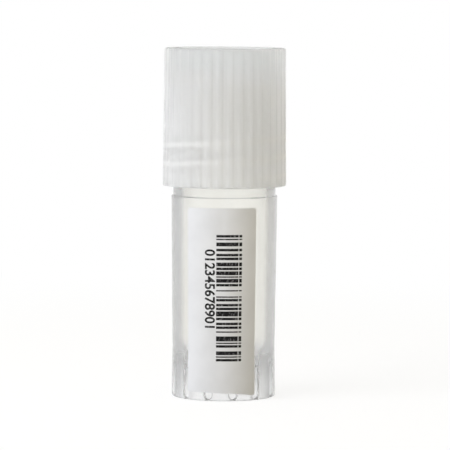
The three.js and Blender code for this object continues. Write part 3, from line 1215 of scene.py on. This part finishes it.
@dataclass
class Label:
    """The wrapped label and its print: a bar code and a counting number, which read downwards."""

    tube: Tube
    bottom: float
    top: float
    start: float = -132.2  # degrees
    end: float = -54.0  # degrees
    glue: float = 0.02
    thickness: float = 0.1
    corner: float = 0.35
    skew: float = 0.35  # how much lower the bottom edge lies at the right end
    ink_depth: float = 0.008
    bar_runs: tuple[tuple[float, float], ...] = (  # degrees, parted by a pale line from a dead dot
        (-98.2, -74.5),
        (-73.7, -70.6),
    )
    bars_bottom: float = 4.7
    bars_top: float = 19.5
    number: str = "012345678901"
    number_foot: float = -110.9  # degrees, where the digits stand
    digit_height: float = 1.23
    digit_pitch: float = 0.78
    digit_gap: float = 0.22  # from the last digit to where a next would start, in pitches
    digit_boldness: float = 0.022  # a stroke's edge moves out by this share of the lettering's size
    number_top: float = 17.8
    digit_slices: int = 9
    film: Finish = CoatedFilm()
    ink: Finish = ThermalInk()

    @classmethod
    def from_frame(cls, tube: Tube) -> "Label":
        """The label whose height the frame gives, on this tube."""
        low, high = corners("barcode_label")
        return cls(tube=tube, bottom=float(low[2]), top=float(high[2]))

    @property
    def surface(self) -> float:
        """How far the film's face lies off the tube."""
        return self.glue + self.thickness

    def laid(self, angle: np.ndarray, height: np.ndarray, lift: np.ndarray | float) -> np.ndarray:
        """Points that follow the tube's outside, this far off it: (x, y, z) in millimetres."""
        return carried_round(at(self.tube.outside(height) + lift, height), angle)

    def build_film(self) -> None:
        """The film: a thin closed sheet whose corners are quarter circles.

        A row near an end is narrower by the corner's radius less the square root of that radius
        squared minus the squared distance into the corner. The bottom edge drops by the skew times
        the cube of the share of the way across.
        """
        into = self.corner * (1.0 - np.sin(np.radians(np.linspace(0.0, 90.0, 7))))
        heights = np.concatenate([
            self.bottom + into[::-1][:-1],
            np.linspace(self.bottom + self.corner, self.top - self.corner, 40),
            self.top - into[1:],
        ])
        left = np.maximum(self.corner - np.minimum(heights - self.bottom, self.top - heights), 0.0)
        inset = self.corner - np.sqrt(np.maximum(self.corner**2 - left**2, 0.0))
        narrow = np.degrees(inset / self.tube.outside(heights))[:, None]
        across = np.linspace(0.0, 1.0, 61)[None, :]
        angle = self.start + narrow + (self.end - self.start - 2.0 * narrow) * across
        drop = (self.top - heights[:, None]) / (self.top - self.bottom)
        height = heights[:, None] - self.skew * drop * across**3
        front = self.laid(angle, height, self.surface).reshape(-1, 3)
        back = self.laid(angle, height, self.glue).reshape(-1, 3)
        faces = sheet_faces(*angle.shape)
        made = new_piece("label_film", np.concatenate([front, back]), faces.tolist())
        seat(made, Body.VIAL, self.film)
        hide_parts("barcode_label")

    def bar_edges(self) -> np.ndarray:
        """Where each bar starts and ends down the label, from the code's bar and space widths.

        Returns:
            A row for each bar: its top and bottom height.
        """
        widths = {
            "start": "211232", "01": "222122", "23": "312131", "45": "113123", "67": "141122",
            "89": "212141", "check": "134111", "stop": "2331112",
        }
        pairs = [self.number[i : i + 2] for i in range(0, len(self.number), 2)]
        code = "".join(widths[word] for word in ["start", *pairs, "check", "stop"])
        steps = np.concatenate([[0], np.cumsum([int(width) for width in code])])
        edges = self.bars_top - (self.bars_top - self.bars_bottom) * steps / steps[-1]
        return np.stack([edges[0:-1:2], edges[1::2]], axis=-1)

    def build_bars(self) -> None:
        """The bars: thin closed sheets on the film, all in one piece."""
        rows, columns = 3, 21
        edges = np.tile(self.bar_edges(), (len(self.bar_runs), 1))
        runs = np.repeat(self.bar_runs, len(edges) // len(self.bar_runs), axis=0)
        faces = sheet_faces(rows, columns)
        up = np.linspace(0.0, 1.0, rows)
        height = edges[:, 1, None] + (edges[:, 0] - edges[:, 1])[:, None] * up
        angle = np.linspace(runs[:, 0], runs[:, 1], columns, axis=-1)
        grid_angle = np.broadcast_to(angle[:, None, :], (len(edges), rows, columns))
        grid_height = np.broadcast_to(height[:, :, None], grid_angle.shape)
        front = self.laid(grid_angle, grid_height, self.surface + self.ink_depth)
        back = self.laid(grid_angle, grid_height, self.surface - self.ink_depth)
        points = np.stack([front, back], axis=1)
        numbers = faces[None] + 2 * rows * columns * np.arange(len(edges))[:, None, None]
        made = new_piece("printed_bars", points.reshape(-1, 3), numbers.reshape(-1, 4).tolist())
        seat(made, Body.VIAL, self.ink)

    def build_number(self) -> None:
        """The digits: flat lettering made a mesh, cut into slices and wrapped onto the film.

        Along the lettering goes down the label, and up the lettering goes round it.
        """
        curve = bpy.data.curves.new("printed_number", "FONT")
        curve.body = self.number
        curve.extrude = 0.5
        curve.offset = self.digit_boldness
        flat = put_in_scene("printed_number", curve)
        bpy.context.view_layer.update()
        ready = flat.evaluated_get(bpy.context.evaluated_depsgraph_get())
        mesh = bpy.data.meshes.new_from_object(ready)
        bpy.data.objects.remove(flat)
        self.slice_up(mesh)
        flat_points = np.empty(3 * len(mesh.vertices))
        mesh.vertices.foreach_get("co", flat_points)
        along, up, through = flat_points.reshape(-1, 3).T
        pitch = (along.max() - along.min()) / (len(self.number) - self.digit_gap)
        height = self.number_top - (along - along.min()) * self.digit_pitch / pitch
        rise = (up - up.min()) / (up.max() - up.min()) * self.digit_height
        angle = self.number_foot + np.degrees(rise / self.tube.outside(height))
        placed = self.laid(angle, height, self.surface + self.ink_depth * np.sign(through))
        mesh.vertices.foreach_set("co", (placed * MM).reshape(-1))
        mesh.update()
        seat(put_in_scene("printed_number", mesh), Body.VIAL, self.ink)

    def slice_up(self, mesh: bpy.types.Mesh) -> None:
        """Merges the lettering's seams and cuts it across its height, so that it can bend.

        Args:
            mesh: the flat lettering, changed in place.
        """
        work = bmesh.new()
        work.from_mesh(mesh)
        bmesh.ops.remove_doubles(work, verts=work.verts, dist=1e-5)
        low = min(vertex.co.y for vertex in work.verts)
        high = max(vertex.co.y for vertex in work.verts)
        for share in np.linspace(0.0, 1.0, self.digit_slices + 1)[1:-1]:
            bmesh.ops.bisect_plane(
                work,
                geom=[*work.verts, *work.edges, *work.faces],
                plane_co=(0.0, low + (high - low) * share, 0.0),
                plane_no=(0.0, 1.0, 0.0),
            )
        bmesh.ops.triangulate(work, faces=work.faces)
        bmesh.ops.recalc_face_normals(work, faces=work.faces)
        work.to_mesh(mesh)
        work.free()

    def build(self) -> None:
        """Makes the film and its print."""
        self.build_film()
        self.build_bars()
        self.build_number()


# Studio -----------------------------------------------------------------------------------------


@dataclass(frozen=True)
class Lamp:
    """A soft square lamp."""

    name: str
    place: tuple[float, float, float]  # mm
    size: float  # mm
    power: float  # watts
    colour: str

    def build(self, aim: Vector) -> None:
        """Makes the lamp, turned towards a point.

        Args:
            aim: where it points, in metres.
        """
        data = bpy.data.lights.new(self.name, "AREA")
        data.size = self.size * MM
        data.energy = self.power
        data.color = linear(self.colour)[:3]
        lamp = put_in_scene(self.name, data)
        lamp.location = Vector(self.place) * MM
        lamp.rotation_euler = (aim - lamp.location).to_track_quat("-Z", "Y").to_euler()
        lamp.visible_camera = False
        lamp.visible_glossy = False


Compass = tuple[tuple[float, str], ...]  # degrees to the right of straight behind, and a colour


@dataclass(frozen=True)
class Studio:
    """A white sweep behind, pale walls on the left, a warm dim room on the right, a long lens."""

    room: Compass = (  # what lights matt surfaces
        (-180.0, "#BEB8A7"),
        (-140.0, "#BEBCB2"),
        (-112.0, "#BBBBB9"),
        (-75.0, "#C6C6C2"),
        (-52.0, "#C4C5C5"),
        (-34.0, "#C8C9C8"),
        (-22.0, "#FFFFFF"),
        (22.0, "#FFFFFF"),
        (34.0, "#C6C4BD"),
        (56.0, "#BFB8A8"),
        (90.0, "#9E8F68"),
        (130.0, "#8D8052"),
        (180.0, "#BEB8A7"),
    )
    boards: Compass = (  # what shows through the plastic and in its gloss: white boards all round
        (-180.0, "#F8F8F6"),
        (-112.0, "#F2F7FE"),
        (-45.0, "#F4F6F8"),
        (-22.0, "#FFFFFF"),
        (22.0, "#FFFFFF"),
        (45.0, "#FAF8F2"),
        (112.0, "#FDFBF4"),
        (180.0, "#F8F8F6"),
    )
    room_overhead: str = "#BDBBB4"
    board_overhead: str = "#F2F2F0"
    ceiling_from: float = 0.35  # the sine of the climb at which what is overhead starts to show
    ceiling_full: float = 0.85
    white: str = "#FFFFFF"
    floor_radius: float = 160.0
    floor_fade: float = 60.0  # mm from the axis, where the floor starts to turn into plain white
    floor_tone: str = "#9A9A9A"
    floor_glow: float = 0.78
    painted_shadow_glow: float = 0.4  # the same for matt surfaces beside the vial: a painted shadow of the vial, dimmer near it
    painted_shadow_reach: float = 50.0  # mm from the axis, where that painted shadow ends
    camera_distance: float = 399.0
    camera_height: float = 50.2
    camera_side: float = 0.09
    camera_pitch: float = 4.3  # degrees down
    camera_roll: float = 0.33  # degrees anticlockwise
    lens: float = 271.0
    camera_reach: tuple[float, float] = (0.01, 5.0)  # metres, the nearest and farthest that it sees
    aim_height: float = 20.0  # where the lamps point
    bounces: int = 32  # light crosses a dozen or more skins on its way through the vial
    matt_bounces: int = 16
    lamps: tuple[Lamp, ...] = (
        Lamp("key", (-350.0, -255.0, 190.0), 420.0, 1.34, "#F0F3FB"),
    )

    def walls(
        self, tree: bpy.types.NodeTree, place: bpy.types.NodeSocket, compass: Compass, overhead: str
    ) -> bpy.types.Node:
        """The studio's brightness by direction: the compass at the sides and a soft grey ceiling.

        The compass angle is the arctangent of x over y. The ceiling takes over as the climb grows.

        Args:
            tree: the node tree.
            place: a direction or a position counted from the vial's axis.
            compass: the colours round about.
            overhead: the ceiling's colour.

        Returns:
            The node that gives the colour.
        """
        across, away, _ = add(tree, "SeparateXYZ", {0: place}).outputs
        angle = add(tree, "Math", {0: across, 1: away}, operation="ARCTAN2")
        share = add(tree, "MapRange", {"Value": angle, "From Min": -math.pi, "From Max": math.pi})
        stops = tuple((degrees / 360.0 + 0.5, wall) for degrees, wall in compass)
        round_about = add(tree, "ValToRGB", {"Fac": share}, stops)
        round_about.color_ramp.interpolation = "EASE"
        unit = add(tree, "VectorMath", {0: place}, operation="NORMALIZE")
        climb = add(tree, "SeparateXYZ", {0: unit})
        upwards = add(tree, "MapRange", {
            "Value": climb.outputs["Z"],
            "From Min": self.ceiling_from,
            "From Max": self.ceiling_full,
        }, interpolation_type="SMOOTHSTEP")
        return add(tree, "MixRGB", {
            "Fac": upwards,
            "Color1": round_about,
            "Color2": linear(overhead),
        })

    def build_world(self) -> None:
        """The surroundings: plain white to the camera, and the studio's walls to all else."""
        world = bpy.data.worlds.new("studio")
        bpy.context.scene.world = world
        tree = emptied(world)
        place = add(tree, "TexCoord").outputs["Generated"]
        seen = add(tree, "LightPath")
        through = add(tree, "Math", {
            0: seen.outputs["Is Transmission Ray"],
            1: seen.outputs["Is Glossy Ray"],
        }, operation="MAXIMUM")
        walls = add(tree, "MixRGB", {
            "Fac": through,
            "Color1": self.walls(tree, place, self.room, self.room_overhead),
            "Color2": self.walls(tree, place, self.boards, self.board_overhead),
        })
        colour = add(tree, "MixRGB", {
            "Fac": seen.outputs["Is Camera Ray"],
            "Color1": walls,
            "Color2": linear(self.white),
        })
        glow = add(tree, "Background", {"Color": colour, "Strength": 1.0})
        add(tree, "OutputWorld", {"Surface": glow})

    def build_floor(self) -> None:
        """A pale round floor, which takes the vial's shadow."""
        rings = np.linspace(0.0, self.floor_radius, 9)[1:, None]
        turn = np.radians(np.linspace(0.0, 360.0, 96, endpoint=False))[None, :]
        grid = np.stack([rings * np.cos(turn), rings * np.sin(turn), 0.0 * rings * turn], axis=-1)
        points = np.concatenate([[[0.0, 0.0, 0.0]], grid.reshape(-1, 3)])
        here = 1 + np.arange(grid[..., 0].size).reshape(grid.shape[:2])
        beside = np.roll(here, -1, axis=1)
        faces = np.stack([here[:-1], here[1:], beside[1:], beside[:-1]], axis=-1).reshape(-1, 4)
        middle = np.stack([np.zeros(here.shape[1], int), here[0], beside[0]], axis=-1)
        floor = new_piece("studio_floor", points, faces.tolist() + middle.tolist())
        paint = bpy.data.materials.new("matt white board")
        floor.data.materials.append(paint)
        self.paint_floor(emptied(paint))

    def paint_floor(self, tree: bpy.types.NodeTree) -> None:
        """Matt board that also glows, and that turns into plain white towards its edge.

        It glows white where it is looked at, and in the room's tones where it lights matt surfaces.
        Beside the vial that glow is dimmed, a painted shadow of the vial.

        Args:
            tree: the board's empty node tree.
        """
        place = add(tree, "TexCoord").outputs["Object"]
        seen = add(tree, "LightPath")
        matt_ray = seen.outputs["Is Diffuse Ray"]
        shown = add(tree, "Math", {0: matt_ray, 1: 1.0}, operation="LESS_THAN")
        colour = add(tree, "MixRGB", {
            "Fac": shown,
            "Color1": self.walls(tree, place, self.room, self.room_overhead),
            "Color2": linear(self.white),
        })
        matt = add(tree, "BsdfDiffuse", {"Color": linear(self.floor_tone)})
        away = add(tree, "VectorMath", {0: place}, operation="LENGTH")
        # painted shadow: towards matt surfaces the floor glows less near the vial
        near = add(tree, "MapRange", {
            "Value": away.outputs["Value"],
            "From Max": self.painted_shadow_reach * MM,
            "To Min": self.painted_shadow_glow,
            "To Max": self.floor_glow,
        })
        strength = add(tree, "MapRange", {
            "Value": shown,
            "To Min": near,
            "To Max": self.floor_glow,
        })
        glow = add(tree, "Emission", {"Color": colour, "Strength": strength})
        board = add(tree, "AddShader", {0: matt, 1: glow})
        plain = add(tree, "Emission", {"Color": colour, "Strength": 1.0})
        edge = add(tree, "MapRange", {
            "Value": away.outputs["Value"],
            "From Min": self.floor_fade * MM,
            "From Max": self.floor_radius * MM,
        }, interpolation_type="SMOOTHSTEP")
        both = add(tree, "MixShader", {0: edge, 1: board, 2: plain})
        add(tree, "OutputMaterial", {"Surface": both})

    def build_camera(self) -> None:
        """A long lens a little above the cap, pitched down at the vial's middle and rolled."""
        data = bpy.data.cameras.new("camera")
        data.lens = self.lens
        data.clip_start, data.clip_end = self.camera_reach
        camera = put_in_scene("camera", data)
        camera.location = Vector((self.camera_side, -self.camera_distance, self.camera_height)) * MM
        level = Euler((math.radians(90.0 - self.camera_pitch), 0.0, 0.0)).to_matrix()
        roll = Euler((0.0, 0.0, math.radians(self.camera_roll))).to_matrix()
        camera.rotation_euler = (level @ roll).to_euler()
        bpy.context.scene.camera = camera

    def build(self) -> None:
        """Sets the stage round the vial."""
        self.build_world()
        self.build_floor()
        self.build_camera()
        for lamp in self.lamps:
            lamp.build(Vector((0.0, 0.0, self.aim_height)) * MM)
        bpy.context.scene.view_settings.view_transform = "Standard"
        paths = bpy.context.scene.cycles
        paths.max_bounces = self.bounces
        paths.transmission_bounces = self.bounces
        paths.glossy_bounces = self.bounces
        paths.diffuse_bounces = self.matt_bounces


def main() -> None:
    """Builds the vial piece by piece, then its studio."""
    logging.basicConfig(level=logging.INFO, format="%(name)s: %(message)s")
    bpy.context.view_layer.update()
    tube = Tube.from_frame()
    tube.build()
    Label.from_frame(tube).build()
    seal = SealRing.from_frame()
    seal.build()
    ScrewCap.from_frame(seal).build()
    Studio().build()


if __name__ == "__main__":
    main()
